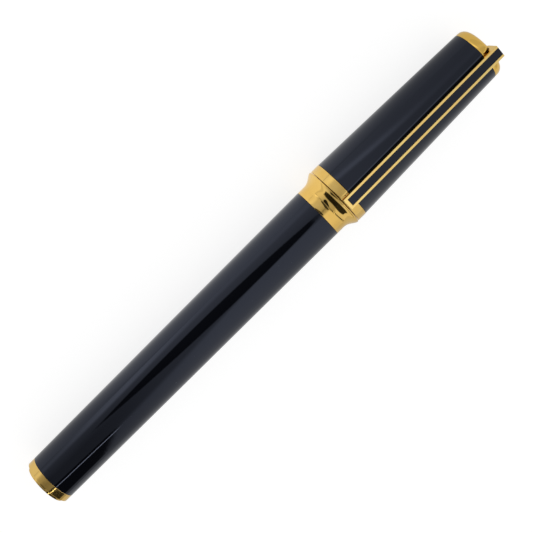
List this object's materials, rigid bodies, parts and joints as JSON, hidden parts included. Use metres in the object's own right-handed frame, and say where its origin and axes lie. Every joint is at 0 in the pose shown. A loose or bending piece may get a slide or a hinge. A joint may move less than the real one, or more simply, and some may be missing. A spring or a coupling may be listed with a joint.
{
  "type": "rollerball pen",
  "caption": "Capped rollerball pen in black lacquer with gold trim: slip-on cap with a hinged inlaid clip, threaded writing section, refill and ball.",
  "frame": {"origin": "centre of the flat gold face that closes the barrel end", "axes": "+X along the pen from the barrel end to the cap crown, +Z from the pen's axis out through the clip, +Y to the side; the pen lies level"},
  "size_m": [0.1381, 0.0152, 0.0159],
  "materials": {
    "black_lacquer": "deep polished black lacquer, mirror gloss",
    "gold_plate": "polished gold plating with fine handling marks",
    "black_inlay": "black enamel strip, slightly softer gloss",
    "grip_black": "polished black resin",
    "brass": "turned brass",
    "spring_steel": "drawn steel",
    "refill_metal": "drawn and nickel plated",
    "refill_plastic": "moulded, satin",
    "ink_fibre": "ink-soaked bonded fibre",
    "seal_rubber": "matte elastomer",
    "carbide": "ground tungsten carbide"
  },
  "bodies": {
    "barrel": {"barrel_shell": "black_lacquer", "barrel_end_ring": "gold_plate", "barrel_end_button": "gold_plate", "barrel_end_plug": "brass", "refill_spring": "spring_steel", "barrel_collar": "gold_plate", "barrel_thread_bush": "brass"},
    "refill": {"refill_tube": "refill_metal", "refill_end_plug": "refill_plastic", "refill_fibre": "ink_fibre", "refill_wick": "ink_fibre", "refill_nose": "refill_plastic", "refill_tip": "refill_metal"},
    "ball": {"refill_ball": "carbide"},
    "section": {"section_coupler": "brass", "section_catch_ring": "gold_plate", "grip_sleeve": "grip_black", "nose_cone": "gold_plate", "section_seal_ring": "seal_rubber"},
    "snap_ring": {"cap_snap_ring": "spring_steel"},
    "cap": {"cap_shell": "black_lacquer", "cap_lip_ring": "gold_plate", "inner_cap": "refill_plastic", "cap_seal_pad": "seal_rubber", "cap_head_block": "brass", "crown_screw": "spring_steel", "cap_crown": "gold_plate", "clip_pivot_pin": "spring_steel", "clip_spring": "spring_steel"},
    "clip": {"clip_frame": "gold_plate", "clip_inlay": "black_inlay"}
  },
  "joints": [
    {"name": "section_advance", "type": "slide", "parent": "barrel", "child": "refill", "axis": [1, 0, 0], "range_m": [0, 0.006], "deforming": ["refill_spring"]},
    {"name": "section_turn", "type": "hinge", "parent": "refill", "child": "section", "pos_m": [0.08, 0, 0], "axis": [1, 0, 0], "range_deg": [0, 1800]},
    {"name": "ball_roll", "type": "hinge", "parent": "refill", "child": "ball", "pos_m": [0.1273, 0, 0], "axis": [0, 1, 0], "continuous": true},
    {"name": "cap_pull", "type": "slide", "parent": "section", "child": "snap_ring", "axis": [1, 0, 0], "range_m": [0, 0.055]},
    {"name": "cap_turn", "type": "hinge", "parent": "snap_ring", "child": "cap", "pos_m": [0.0924, 0, 0], "axis": [1, 0, 0], "continuous": true},
    {"name": "clip_lift", "type": "hinge", "parent": "cap", "child": "clip", "pos_m": [0.1346, 0, 0.0034], "axis": [0, 1, 0], "range_deg": [0, 5], "stiffness_Nm_per_rad": 1.2, "deforming": ["clip_spring"]}
  ],
  "couplings": [
    {"joint": "section_turn", "follows": "section_advance", "rad_per_m": 5236}
  ]
}
